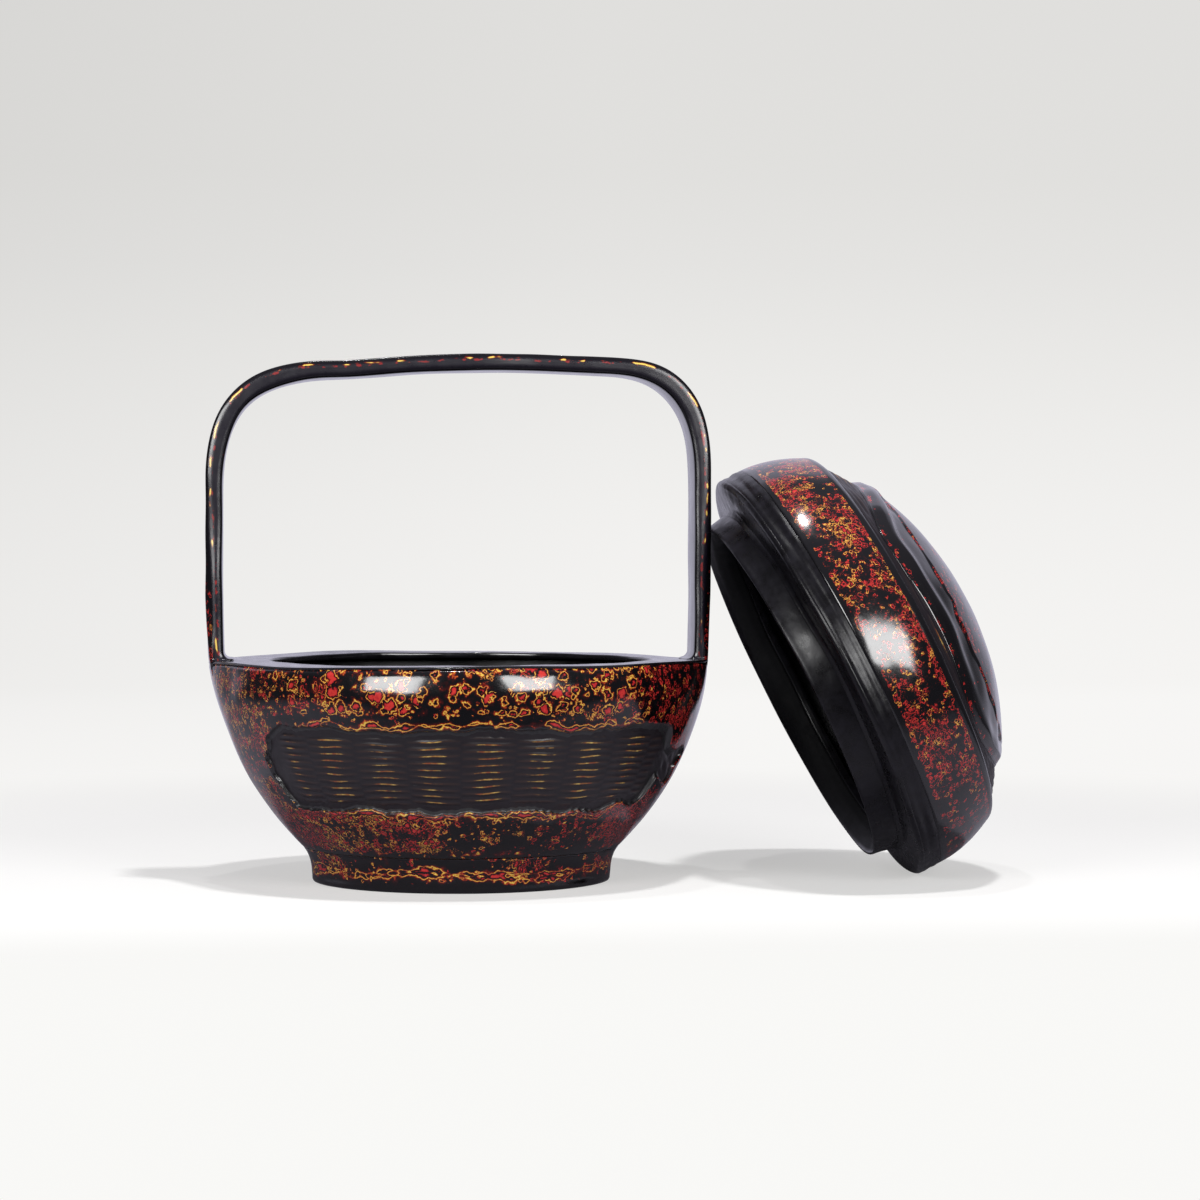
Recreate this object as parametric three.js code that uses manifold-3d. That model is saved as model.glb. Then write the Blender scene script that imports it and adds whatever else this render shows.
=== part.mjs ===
// Lacquered basket with a fixed bow handle, and its domed lid leaning on one leg of the handle.
// A woven bamboo bowl is lined, coated outside with thick lacquer and closed by a broad ledge at
// the mouth. The coat is torn open front and back, so the weave shows in two long windows. The lid
// is built alike: the weave shows in a ring between the side of the lid and its crown.
// Millimetres, +Z up. The handle lies in the XZ plane, the windows face -Y and +Y.

import * as THREE from 'three';
import { mergeVertices } from 'three/addons/utils/BufferGeometryUtils.js';
import Module from 'manifold-3d';

const wasm = await Module();
wasm.setup();

// Fit between pieces that bear on each other
const gap = 0.3;
const mergeDistance = 1e-4;

// Bowl
const rimHeight = 79.2;
const bowlRadius = 87.2;
const bowlFullness = 2.15;
const coatThickness = 2.1;
const weaveThickness = 1.8;
const liningThickness = 1.2;

// Foot
const footHeight = 12;
const footRadius = 53.5;
const footFlare = 2.7;
const footWall = 5;
const basePlateThickness = 2.4;

// Ledge round the mouth
const ledgeSetback = 1.2;
const ledgeThickness = 2.2;
const ledgeRounding = 1;

// Handle
const handleTop = 188.4;
const handleDepth = 22;
const handleThickness = 5.6;
const handleCrown = 1.9;
const handleSlope = 1.7;
const cornerSwell = 1.1;
const cornerFullness = 2.8;
const legProud = 1.8;
const legSettle = 35;
const leftLeg = { spread: 4, reach: 48, drop: 46 };
const rightLeg = { spread: 2.1, reach: 39, drop: 44 };
const tongueLength = 30;
const tongueEndDepth = 14;
const strapRounding = 1.6;

// Weave: the strands pass over one stake and under the next. The bowl's odd count of stakes is
// woven with one long strand, the lid's even count with two that follow each other.
const bowlStakes = 27;
const lidStakes = 20;
const weftPitch = 2.35;
const weftRelief = 0.3;
const weftRootDepth = 0.4;
const stakeTurn = 0.25;

// Windows torn in the coat of the bowl
const windowLow = 29;
const windowHigh = 58;
const windowHalfAngle = 59;
const windowEndFill = 0.4;
const windowRightReach = 1.25;
const windowTear = 0.45;
const windowTurns = [0, Math.PI];
const weaveRecess = 1.7;
const weaveMargin = 2.2;

// Lid, measured from the rim of its collar towards its crown
const lidInset = 7.4;
const seatWidth = 13.4;
const collarClearance = 2.2;
const collarWall = 4.4;
const collarHeight = 9.2;
const seatThickness = 3.4;
const seatBevel = 2;
const edgeHoopHeight = 6.6;
const edgeHoopBulge = 0.4;
const collarRounding = 1;
const sideCoatHeight = 23.6;
const shoulderInset = 6.5;
const domeRise = 26.9;
const domeFullness = 2.35;
const weaveRingWidth = 9.8;
const crownWander = 4;
const crownTear = 0.5;
const crownThickness = 2;
const lidCoatThickness = 2;
const lidRecess = 1.2;

// Radii that follow from the others
const ledgeRadius = bowlRadius - ledgeSetback;
const lidRadius = bowlRadius - lidInset;
const collarRadius = lidRadius - seatWidth;
const mouthRadius = collarRadius + collarClearance;
const shoulderRadius = lidRadius - shoulderInset;
const crownRadius = shoulderRadius - weaveRingWidth;
const waistRadius = footRadius + footFlare + gap;

// Lean of the lid: its axis stands this many degrees above the floor
const lidAxisRise = 26.3;

const finishes = {
  speckle: { color: '#5c1c12', roughness: 0.25, metalness: 0 },
  black: { color: '#121114', roughness: 0.4, metalness: 0 },
  weave: { color: '#2b2118', roughness: 0.6, metalness: 0 },
};

const radians = THREE.MathUtils.degToRad;
const smooth = (t) => THREE.MathUtils.smoothstep(t, 0, 1);
const steps = (from, to, count) =>
  Array.from({ length: count + 1 }, (_, i) => from + ((to - from) * i) / count);

// Solids

function solidOf(geometry) {
  const bare = geometry.clone();
  bare.deleteAttribute('normal');
  bare.deleteAttribute('uv');
  const merged = mergeVertices(bare, mergeDistance);
  const corners = merged.index.array;
  const triangles = [];
  for (let i = 0; i < corners.length; i += 3) {
    const [a, b, c] = [corners[i], corners[i + 1], corners[i + 2]];
    if (a !== b && b !== c && c !== a) triangles.push(a, b, c);
  }
  const made = (order) => new wasm.Manifold(new wasm.Mesh({
    numProp: 3,
    vertProperties: new Float32Array(merged.attributes.position.array),
    triVerts: new Uint32Array(order),
  }));
  const solid = made(triangles);
  return solid.volume() > 0 ? solid : made(triangles.reverse());
}

function geometryOf(solid) {
  const mesh = solid.getMesh();
  const geometry = new THREE.BufferGeometry();
  geometry.setAttribute('position', new THREE.BufferAttribute(mesh.vertProperties, 3));
  geometry.setIndex(new THREE.BufferAttribute(mesh.triVerts, 1));
  geometry.computeVertexNormals();
  return geometry;
}

// A body of revolution about Z from a closed outline of [radius, height]
function revolve(outline, segments) {
  const points = [...outline, outline[0]].map(([radius, height]) => new THREE.Vector2(radius, height));
  const geometry = new THREE.LatheGeometry(points, segments);
  geometry.rotateX(Math.PI / 2);
  return solidOf(geometry);
}

// A closed body through rings of points that all have the same count. Its ends are flat, or meet
// where the last ring is the first one again.
function loft(rings, meets = false) {
  const sides = rings[0].length;
  const positions = rings.flat(2);
  const index = [];
  for (let ring = 0; ring + 1 < rings.length; ring++) {
    for (let side = 0; side < sides; side++) {
      const a = ring * sides + side;
      const b = ring * sides + ((side + 1) % sides);
      index.push(a, b, b + sides, a, b + sides, a + sides);
    }
  }
  const last = (rings.length - 1) * sides;
  for (let side = 1; side + 1 < sides && !meets; side++) {
    index.push(0, side + 1, side);
    index.push(last, last + side, last + side + 1);
  }
  const geometry = new THREE.BufferGeometry();
  geometry.setAttribute('position', new THREE.Float32BufferAttribute(positions, 3));
  geometry.setIndex(index);
  return solidOf(geometry);
}

const onCylinder = (angle, radius, height) =>
  [radius * Math.sin(angle), -radius * Math.cos(angle), height];

function piece(name, finish, solid) {
  const mesh = new THREE.Mesh(geometryOf(solid), new THREE.MeshStandardMaterial(finishes[finish]));
  mesh.name = name;
  return mesh;
}

// Bowl

const bowlSegments = 2 * bowlStakes;
const ringSegments = 44;
const liningSegments = 36;
const ledgeBottom = rimHeight - ledgeThickness;
const wallTop = ledgeBottom - gap;
const weaveDepth = coatThickness + gap;
const liningDepth = weaveDepth + weaveThickness + gap;
const weaveFloor = footHeight + gap;
const liningFloor = weaveFloor + weaveThickness + gap;

function wallRadius(height, depth = 0) {
  const share = Math.max(0, rimHeight - height) / (rimHeight - footHeight);
  return bowlRadius - (bowlRadius - waistRadius) * share ** bowlFullness - depth;
}

const wallLine = (depth, low, high, count) =>
  steps(low, high, count).map((height) => [wallRadius(height, depth), height]);

function bowlShell(depth, thickness, floor, segments) {
  const outer = wallLine(depth, floor, wallTop, wallSteps);
  const inner = wallLine(depth + thickness, floor + thickness, wallTop, wallSteps).reverse();
  return revolve([[0, floor], ...outer, ...inner, [0, floor + thickness]], segments);
}

// A block through the coat in the outline of a window, torn along its edges
function windowBlock(turn) {
  const middle = (windowLow + windowHigh) / 2;
  const halfHeight = (windowHigh - windowLow) / 2;
  const rings = steps(-1, windowRightReach, 24).map((share) => {
    const angle = share * radians(windowHalfAngle);
    const reach = Math.min(1, Math.abs(share));
    const fill = Math.max(windowEndFill, (1 - reach ** 16) ** 0.25);
    const tear = windowTear * (1 + 1.5 * reach * reach);
    const low = tear * (Math.sin(9 * angle + turn) + 0.7 * Math.sin(23 * angle + 2));
    const high = tear * (Math.sin(8 * angle + 1) + 0.6 * Math.sin(27 * angle + turn));
    const bottom = middle - halfHeight * fill + low;
    const top = middle + halfHeight * fill + high;
    return [
      onCylinder(angle + turn, wallRadius(bottom, weaveDepth), bottom),
      onCylinder(angle + turn, bowlRadius + coatThickness, bottom),
      onCylinder(angle + turn, bowlRadius + coatThickness, top),
      onCylinder(angle + turn, wallRadius(top, weaveDepth), top),
    ];
  });
  return loft(rings);
}

// Relief of the weft: it rises where a strand passes over a stake and sinks where it passes under
const weftRise = (angle, along, stakes) =>
  weftRelief * Math.cos((angle * stakes) / 2) * Math.cos((2 * Math.PI * along) / weftPitch);

// The strands that show in a window, as a slab whose outer face carries the relief
function bowlWeft(turn) {
  const stakeAngle = (2 * Math.PI) / bowlStakes;
  const columns = Math.floor(radians(windowHalfAngle) / stakeAngle);
  const rows = Math.floor((windowHigh - windowLow - 2 * weaveMargin) / weftPitch);
  const middle = (windowLow + windowHigh) / 2;
  const reach = (rows * weftPitch) / 2;
  const rings = steps(-columns * stakeAngle, columns * stakeAngle, 4 * columns).map((angle) => {
    const face = steps(middle + reach, middle - reach, 2 * rows).map((height) => {
      const turned = angle - stakeTurn * stakeAngle;
      const depth = weaveRecess + weftRelief - weftRise(turned, height - middle, bowlStakes);
      return onCylinder(angle + turn, wallRadius(height, depth), height);
    });
    const back = [middle - reach, middle, middle + reach].map((height) =>
      onCylinder(angle + turn, wallRadius(height, weaveDepth + weftRootDepth), height));
    return [...face, ...back];
  });
  return loft(rings);
}

// Handle

const tongueBottom = rimHeight - tongueLength;

// The outer face of one leg, from the end of its tongue up to the corner
function legFace(spread, cornerStart) {
  const low = steps(tongueBottom, rimHeight, 5).map((height) => {
    const rise = (height - tongueBottom) / tongueLength;
    const proud = legProud * smooth(rise);
    return {
      x: wallRadius(height) + proud,
      z: height,
      thickness: coatThickness + gap + weaveThickness + proud,
      depth: THREE.MathUtils.lerp(tongueEndDepth, handleDepth, smooth(2 * rise)),
    };
  });
  const high = steps(rimHeight, cornerStart, 4).slice(1).map((height) => {
    const settled = smooth((height - rimHeight) / legSettle);
    const x = bowlRadius + THREE.MathUtils.lerp(legProud, spread, settled);
    return { x, z: height, thickness: handleThickness, depth: handleDepth };
  });
  return [...low, ...high];
}

// The corner is fuller than a round one, and the strap swells a little in it
function cornerFace(leg, top) {
  const middle = { x: bowlRadius + leg.spread - leg.reach, z: top - leg.drop };
  return steps(0, Math.PI / 2, 7).slice(1).map((turn) => ({
    x: middle.x + leg.reach * Math.max(0, Math.cos(turn)) ** (2 / cornerFullness),
    z: middle.z + leg.drop * Math.sin(turn) ** (2 / cornerFullness),
    thickness: handleThickness + cornerSwell * Math.sin(2 * turn),
    depth: handleDepth,
  }));
}

const mirrored = (face) => face.map((station) => ({ ...station, x: -station.x }));

function handleFace() {
  const rightTop = handleTop - handleCrown + handleSlope / 2;
  const leftTop = rightTop - handleSlope;
  const side = (leg, top) => [...legFace(leg.spread, top - leg.drop), ...cornerFace(leg, top)];
  const right = side(rightLeg, rightTop);
  const left = side(leftLeg, leftTop);
  const from = right.at(-1);
  const to = mirrored(left).at(-1);
  const bridge = steps(0, 1, 6).slice(1, -1).map((t) => ({
    x: THREE.MathUtils.lerp(from.x, to.x, t),
    z: THREE.MathUtils.lerp(from.z, to.z, t) + handleCrown * Math.sin(Math.PI * t),
    thickness: handleThickness,
    depth: handleDepth,
  }));
  return [...right, ...bridge, ...mirrored(left).reverse()];
}

// A strap along a face line, grown on all sides by a clearance where it is a cutter
function strap(face, grow = 0) {
  const rings = face.map((station, i) => {
    const before = face[Math.max(i - 1, 0)];
    const after = face[Math.min(i + 1, face.length - 1)];
    const along = new THREE.Vector2(after.x - before.x, after.z - before.z).normalize();
    const outward = new THREE.Vector2(along.y, -along.x);
    const half = station.depth / 2 + grow;
    const inner = -station.thickness - grow;
    const section = [
      [-half, inner + strapRounding],
      [-half + strapRounding, inner],
      [half - strapRounding, inner],
      [half, inner + strapRounding],
      [half, grow - strapRounding],
      [half - strapRounding, grow],
      [-half + strapRounding, grow],
      [-half, grow - strapRounding],
    ];
    return section.map(([across, out]) => [
      station.x + outward.x * out,
      across,
      station.z + outward.y * out,
    ]);
  });
  return loft(rings);
}

// The slot that a leg's tongue fills in the bowl and the ledge
function legSlot(side) {
  const { spread } = side > 0 ? rightLeg : leftLeg;
  const face = legFace(spread, rimHeight + legSettle)
    .map((station) => ({ ...station, x: side * station.x }));
  const lowered = { ...face[0], z: face[0].z - gap };
  const line = [lowered, ...face];
  return strap(side > 0 ? line : line.reverse(), gap);
}

// Lid

const lidSegments = 2 * lidStakes;
const seatLow = collarHeight + gap;
const seatTop = seatLow + seatThickness;
const hoopLow = seatTop + gap;
const hoopTop = hoopLow + edgeHoopHeight;
const sideLow = hoopTop + gap;
const shoulderHeight = sideLow + sideCoatHeight;
const crownTop = shoulderHeight + domeRise;
const lidWeaveDepth = lidCoatThickness + gap;
const lidLiningDepth = lidWeaveDepth + weaveThickness + gap;
const sideCoatRim = shoulderRadius - lidCoatThickness;
const domeSteps = 8;

const domeHeight = (radius, depth = 0) =>
  crownTop - domeRise * (radius / shoulderRadius) ** domeFullness - depth;

const sideRadius = (height, depth = 0) => {
  const share = Math.max(0, height - sideLow) / sideCoatHeight;
  return lidRadius - (lidRadius - shoulderRadius) * share ** 2 - depth;
};

// The line of a layer of the lid at a depth under its surface, from the seat up to the axis
function lidLine(depth) {
  const side = steps(sideLow, shoulderHeight - depth, 3).map((height) =>
    [sideRadius(height, depth), height]);
  const start = side.at(-1)[0];
  const dome = steps(start, 0, domeSteps).slice(1).map((radius) =>
    [radius, domeHeight(radius, depth)]);
  return [[sideRadius(hoopLow, depth), hoopLow], ...side, ...dome];
}

function lidShell(depth, thickness, segments) {
  return revolve([...lidLine(depth), ...lidLine(depth + thickness).reverse()], segments);
}

// The crown reaches farther down the front and back, and its outline is torn
const crownEdge = (angle) => crownRadius
  + crownWander * (Math.cos(2 * angle) - 0.55 * Math.cos(4 * angle) - 0.3 * Math.cos(6 * angle))
  + crownTear * (Math.sin(3 * angle + 1) + 0.8 * Math.sin(5 * angle) + 0.5 * Math.sin(11 * angle + 2));

// A disc with the torn outline of the crown, from one depth under the dome to another
function crownDisc(topDepth, bottomDepth, grow) {
  const shares = steps(0, 1, domeSteps).slice(1);
  const ring = (share, depth) => steps(0, 2 * Math.PI, lidSegments).slice(0, -1).map((angle) => {
    const radius = share * (crownEdge(angle) + grow);
    return onCylinder(angle, radius, domeHeight(radius, depth));
  });
  const pole = (depth) => Array.from({ length: lidSegments }, () => [0, 0, domeHeight(0, depth)]);
  const rings = [
    pole(bottomDepth),
    ...shares.map((share) => ring(share, bottomDepth)),
    ...shares.map((share) => ring(share, topDepth)).reverse(),
    pole(topDepth),
  ];
  return loft(rings);
}

// The ring of strands between the side of the lid and the crown, under whose edge it sinks
function lidWeft() {
  const outer = sideCoatRim - gap;
  const stepAngle = (2 * Math.PI) / lidSegments;
  const clearOf = (angle) => gap + weftPitch / 2
    + Math.max(...[-stepAngle, 0, stepAngle].map((turn) => crownEdge(angle + turn)));
  const lowest = Math.min(...steps(0, 2 * Math.PI, lidSegments).map(crownEdge));
  const rows = Math.floor((2 * (outer - lowest)) / weftPitch);
  const inner = outer - (rows * weftPitch) / 2;
  const sunk = lidWeaveDepth + weftRootDepth;
  const sections = steps(0, 2 * Math.PI, lidSegments).map((angle) => [
    ...steps(outer, inner, rows).map((radius) => {
      const raised = lidRecess + weftRelief - weftRise(angle, outer - radius, lidStakes);
      return onCylinder(angle, radius, domeHeight(radius, radius > clearOf(angle) ? raised : sunk));
    }),
    ...[inner, outer].map((radius) =>
      onCylinder(angle, radius, domeHeight(radius, sunk + weftRootDepth))),
  ]);
  return loft(sections, true);
}

function collar() {
  const inner = collarRadius - collarWall;
  return revolve([
    [inner, collarRounding],
    [inner + collarRounding, 0],
    [collarRadius - collarRounding, 0],
    [collarRadius, collarRounding],
    [collarRadius, collarHeight],
    [inner, collarHeight],
  ], lidSegments);
}

function seat() {
  const inner = collarRadius - collarWall;
  return revolve([
    [inner, seatLow],
    [collarRadius, seatLow],
    [lidRadius, seatLow + seatBevel],
    [lidRadius, seatTop],
    [inner, seatTop],
  ], lidSegments);
}

function edgeHoop() {
  const outer = steps(0, 1, 2).map((share) =>
    [lidRadius + edgeHoopBulge * Math.sin(Math.PI * share), hoopLow + edgeHoopHeight * share]);
  const inner = lidRadius - lidCoatThickness;
  return revolve([...outer, [inner, hoopTop], [inner, hoopLow]], lidSegments);
}

// The coat of the lid's side turns in over the shoulder
function sideCoat() {
  const outer = steps(sideLow, shoulderHeight, 6).map((height) => [sideRadius(height), height]);
  const rim = [0, lidCoatThickness].map((depth) => [sideCoatRim, domeHeight(sideCoatRim, depth)]);
  const inner = steps(shoulderHeight - lidCoatThickness, sideLow, 3).map((height) =>
    [sideRadius(height, lidCoatThickness), height]);
  return revolve([...outer, ...rim, ...inner], lidSegments);
}

// Pieces of the basket

function footRing() {
  const outer = steps(0, 1, 3).map((share) =>
    [footRadius + footFlare * share ** 3, footHeight * share]);
  const inner = footRadius - footWall;
  return revolve([...outer, [inner, footHeight], [inner, 0]], ringSegments);
}

function basePlate() {
  const radius = footRadius - footWall - gap;
  const low = footHeight - basePlateThickness;
  return revolve([[0, low], [radius, low], [radius, footHeight], [0, footHeight]], ringSegments);
}

function ledge() {
  const soft = ledgeRounding / 2;
  return revolve([
    [mouthRadius, ledgeBottom + soft],
    [mouthRadius + soft, ledgeBottom],
    [ledgeRadius, ledgeBottom],
    [ledgeRadius, rimHeight - ledgeRounding],
    [ledgeRadius - soft, rimHeight - soft / 2],
    [ledgeRadius - 2 * ledgeRounding, rimHeight],
    [mouthRadius + soft, rimHeight],
    [mouthRadius, rimHeight - soft],
  ], ringSegments);
}

const wallSteps = 6;
const slots = [legSlot(1), legSlot(-1)];
const slotted = (solid) => slots.reduce((left, slot) => left.subtract(slot), solid);

function bowlCoat() {
  const outer = wallLine(0, weaveFloor, wallTop, wallSteps);
  const inner = wallLine(coatThickness, weaveFloor, wallTop, wallSteps).reverse();
  const whole = slotted(revolve([...outer, ...inner], bowlSegments));
  return windowTurns.reduce((left, turn) => left.subtract(windowBlock(turn)), whole);
}

function wovenBowl() {
  const wall = slotted(bowlShell(weaveDepth, weaveThickness, weaveFloor, bowlSegments));
  return windowTurns.reduce((left, turn) => left.add(bowlWeft(turn)), wall);
}

const wovenLid = () => lidShell(lidWeaveDepth, weaveThickness, lidSegments).add(lidWeft());

const basket = new THREE.Group();
basket.add(
  piece('foot_ring', 'speckle', footRing()),
  piece('base_plate', 'black', basePlate()),
  piece('woven_bowl', 'weave', wovenBowl()),
  piece('bowl_lining', 'black', bowlShell(liningDepth, liningThickness, liningFloor, liningSegments)),
  piece('bowl_coat', 'speckle', bowlCoat()),
  piece('mouth_ledge', 'black', slotted(ledge())),
  piece('handle_bow', 'speckle', strap(handleFace())),
);

const lid = new THREE.Group();
lid.add(
  piece('lid_collar', 'black', collar()),
  piece('lid_seat', 'black', seat()),
  piece('lid_edge_hoop', 'black', edgeHoop()),
  piece('woven_lid', 'weave', wovenLid()),
  piece('lid_lining', 'black', lidShell(lidLiningDepth, liningThickness, liningSegments)),
  piece('lid_side_coat', 'speckle', sideCoat()),
  piece('lid_crown', 'speckle', crownDisc(0, crownThickness, 0)),
);

// The lid leans with the rim of its collar on the outer face of a leg and its edge on the floor
lid.rotation.y = radians(90 - lidAxisRise);
const rightFace = bowlRadius + rightLeg.spread;
lid.position.x = rightFace + gap + collarRadius * Math.sin(radians(lidAxisRise));
lid.position.z = gap - new THREE.Box3().setFromObject(lid, true).min.z;

// The origin lies under the middle of the whole set, on the floor
const group = new THREE.Group();
group.add(basket, lid);
const middle = new THREE.Box3().setFromObject(group, true).getCenter(new THREE.Vector3());
group.position.set(-middle.x, -middle.y, 0);

export default group;
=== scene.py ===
"""Lacquered basket with its lid leaning on the handle: visible surfaces, finishes, light and camera.

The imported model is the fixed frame. Shapes are worked out in millimetres round each body's own axis
and placed in that frame, which is in metres.
"""
import math

import bpy
import numpy as np
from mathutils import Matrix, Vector


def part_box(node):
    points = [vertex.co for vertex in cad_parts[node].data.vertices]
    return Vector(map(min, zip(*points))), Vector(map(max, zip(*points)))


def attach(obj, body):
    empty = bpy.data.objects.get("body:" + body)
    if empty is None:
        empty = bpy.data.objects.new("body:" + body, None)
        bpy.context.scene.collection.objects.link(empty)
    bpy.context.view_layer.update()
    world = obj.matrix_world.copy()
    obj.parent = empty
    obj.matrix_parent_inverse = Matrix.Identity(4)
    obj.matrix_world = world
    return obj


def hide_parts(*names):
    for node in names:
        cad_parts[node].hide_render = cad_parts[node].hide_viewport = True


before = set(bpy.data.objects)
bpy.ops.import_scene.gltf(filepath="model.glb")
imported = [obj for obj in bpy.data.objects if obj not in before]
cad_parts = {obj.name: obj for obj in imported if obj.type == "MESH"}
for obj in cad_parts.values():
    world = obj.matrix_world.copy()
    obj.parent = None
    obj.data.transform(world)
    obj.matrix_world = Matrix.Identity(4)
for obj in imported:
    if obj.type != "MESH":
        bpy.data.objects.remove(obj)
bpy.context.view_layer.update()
DETAIL = 1.0

# Placing of the two bodies
MM = 0.001
foot_low, foot_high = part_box("foot_ring")
AXIS_X = (foot_low.x + foot_high.x) / 2
LID_RISE = math.radians(26.3)
LID_FROM_AXIS, LID_HEIGHT = 119.020, 66.744

# Sizes shared with the solids, in millimetres
RIM, BOWL_R, FULLNESS, WAIST_R = 79.2, 87.2, 2.15, 56.5
BROW_START, BROW_EASE = 66.5, 62.0
FOOT_H, FOOT_R = 12.0, 53.5
LEDGE_BOTTOM, MOUTH_R = 77.0, 68.6
STAKES, LID_STAKES, PITCH, STAKE_TURN = 27, 20, 2.35, 0.25
WINDOW_LOW, WINDOW_HIGH, WINDOW_ANGLE, WINDOW_RIGHT = 29.0, 58.0, math.radians(59), 1.25
WINDOW_MIDDLE, WINDOW_HALF = (WINDOW_LOW + WINDOW_HIGH) / 2, (WINDOW_HIGH - WINDOW_LOW) / 2
WINDOW_FILL, WINDOW_TEAR = 0.4, 0.45
LID_R, SHOULDER_R, CROWN_R = 79.8, 73.3, 63.5
SIDE_LOW, SIDE_H, SHOULDER = 20.1, 23.6, 43.7
CROWN_TOP, DOME = 70.6, 26.9

# Sizes of the dressing alone: the coat's lowest and highest row, and where the weave lies in it
COAT_LOW, COAT_TOP = 11.8, 78.35
WEAVE_LOW, WEAVE_HIGH, WEAVE_LEFT, WEAVE_RIGHT = 26.0, 61.0, -1.13, 1.40

# How far the gold dashes lie in from the strap's outer face
DASH_INSET = 1.25

# What each mark says where a surface has no pattern
PLAIN = {"coarse": -1.0, "dense": -6.0, "line": 50.0, "red": 0.0, "matt": 0.0, "crest": 0.0}

# View of the photograph
VIEW_TURN = math.radians(5.7)
VIEW_DISTANCE, VIEW_HEIGHT, VIEW_ASIDE = 1.19, 0.122, 0.050
FOCAL_PIXELS, PHOTO_WIDTH, HORIZON_ROW, SENSOR = 3300, 1200, 540, 36.0


# ---- shape helpers

def smooth(t):
    """Rises from 0 to 1 with level ends: three t squared less two t cubed."""
    t = np.clip(t, 0.0, 1.0)
    return t * t * (3 - 2 * t)


def wave(turn, along, seed, turns, rate, count=7):
    """Hand-made unevenness of about -1..1: a sum of sines, whole numbers of them round the axis."""
    rng = np.random.default_rng(seed)
    total = np.zeros(np.broadcast(turn, along).shape)
    power = 0.0
    for _ in range(count):
        n = int(rng.integers(turns[0], turns[1] + 1))
        k = rng.uniform(-1, 1) * rate
        weight = rng.uniform(0.5, 1.0)
        total = total + weight * np.sin(n * turn + k * along + rng.uniform(0, math.tau))
        power += weight * weight
    return total / math.sqrt(power)


def ripple(turn, seed, fewest, most):
    """Such unevenness where it changes with the turn alone."""
    return wave(turn, 0.0, seed, (fewest, most), 0)


def hump(value, middle, width):
    """1 at the middle, falling off like a bell."""
    return np.exp(-((value - middle) / width) ** 2)


def spread(*stops):
    """Values running through stops, each stop (value, number of steps to the next)."""
    out = []
    for (low, count), (high, _) in zip(stops, stops[1:]):
        out.extend(np.linspace(low, high, max(2, int(round(count * DETAIL))), endpoint=False))
    out.append(stops[-1][0])
    return np.array(out)


def columns_round(count):
    """Angles of a turned surface's columns, as one row."""
    return np.linspace(0, math.tau, int(count * DETAIL) // 2 * 2, endpoint=False)[None, :]


def around(radius, turn, height):
    """A point at a radius and height, turned from the front (-Y) towards the right (+X)."""
    radius, turn, height = np.broadcast_arrays(radius, turn, height)
    return np.stack([radius * np.sin(turn), -radius * np.cos(turn), height], -1)


def place(points, body):
    """Millimetres round the body's own axis to metres in the frame."""
    if body == "basket":
        return points * MM + np.array([AXIS_X, 0, 0])
    lean = math.pi / 2 - LID_RISE
    x = points[..., 0] * math.cos(lean) + points[..., 2] * math.sin(lean)
    z = -points[..., 0] * math.sin(lean) + points[..., 2] * math.cos(lean)
    placed = np.stack([x, points[..., 1], z], -1)
    return (placed + np.array([LID_FROM_AXIS, 0, LID_HEIGHT])) * MM + np.array([AXIS_X, 0, 0])


def added(name, data):
    """A new object with this data, linked to the scene."""
    obj = bpy.data.objects.new(name, data)
    bpy.context.scene.collection.objects.link(obj)
    return obj


def smooth_mesh(name, points, faces, material):
    mesh = bpy.data.meshes.new(name)
    mesh.from_pydata(points, [], faces)
    mesh.polygons.foreach_set("use_smooth", np.ones(len(mesh.polygons), dtype=bool))
    mesh.materials.append(material)
    return mesh


def surface(name, points, body, node, finish, marks, capped=False):
    """A closed surface over a grid of points [rows, columns]. Its columns close on themselves, and so
    do its rows, or if it is capped, each end row is drawn together in one point. Marks are values kept
    per point, which steer the finish."""
    slot, material = finish
    rows, columns = points.shape[:2]
    ids = np.arange(rows * columns).reshape(rows, columns)
    ids = np.concatenate([ids, ids[:, :1]], 1)
    if not capped:
        ids = np.concatenate([ids, ids[:1]], 0)
    a, b, c, d = ids[:-1, :-1], ids[:-1, 1:], ids[1:, 1:], ids[1:, :-1]
    quads, triangles = np.stack([a, b, c, d], -1), []
    flat = points.reshape(-1, 3)
    if capped:
        flat[ids[0]] = points[0].mean(0)
        flat[ids[-1]] = points[-1].mean(0)
        triangles = [np.stack([np.full_like(c[0], ids[0, 0]), c[0], d[0]], -1),
                     np.stack([a[-1], b[-1], np.full_like(a[-1], ids[-1, 0])], -1)]
        quads = quads[1:-1]
    parts = [quads.reshape(-1, 4), *triangles]
    used = np.unique(np.concatenate([part.ravel() for part in parts]))
    renumber = np.zeros(len(flat), dtype=np.int64)
    renumber[used] = np.arange(len(used))
    placed = place(flat[used], body)
    faces = [face for part in parts for face in renumber[part].tolist()]
    mesh = smooth_mesh(name, placed.tolist(), faces, material)
    for mark, values in marks.items():
        layer = mesh.attributes.new(mark, "FLOAT", "POINT")
        full = np.broadcast_to(values, (rows, columns)).reshape(-1)[used].astype(np.float32)
        layer.data.foreach_set("value", full)
    mesh.update()
    a, b, c, d = (placed[renumber[parts[0]]] - placed.mean(0)).transpose(1, 0, 2)
    volume = (a * (np.cross(b, c) + np.cross(c, d))).sum()
    if volume < 0:
        mesh.flip_normals()
    obj = added(name, mesh)
    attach(obj, body)
    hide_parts(node)


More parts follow.
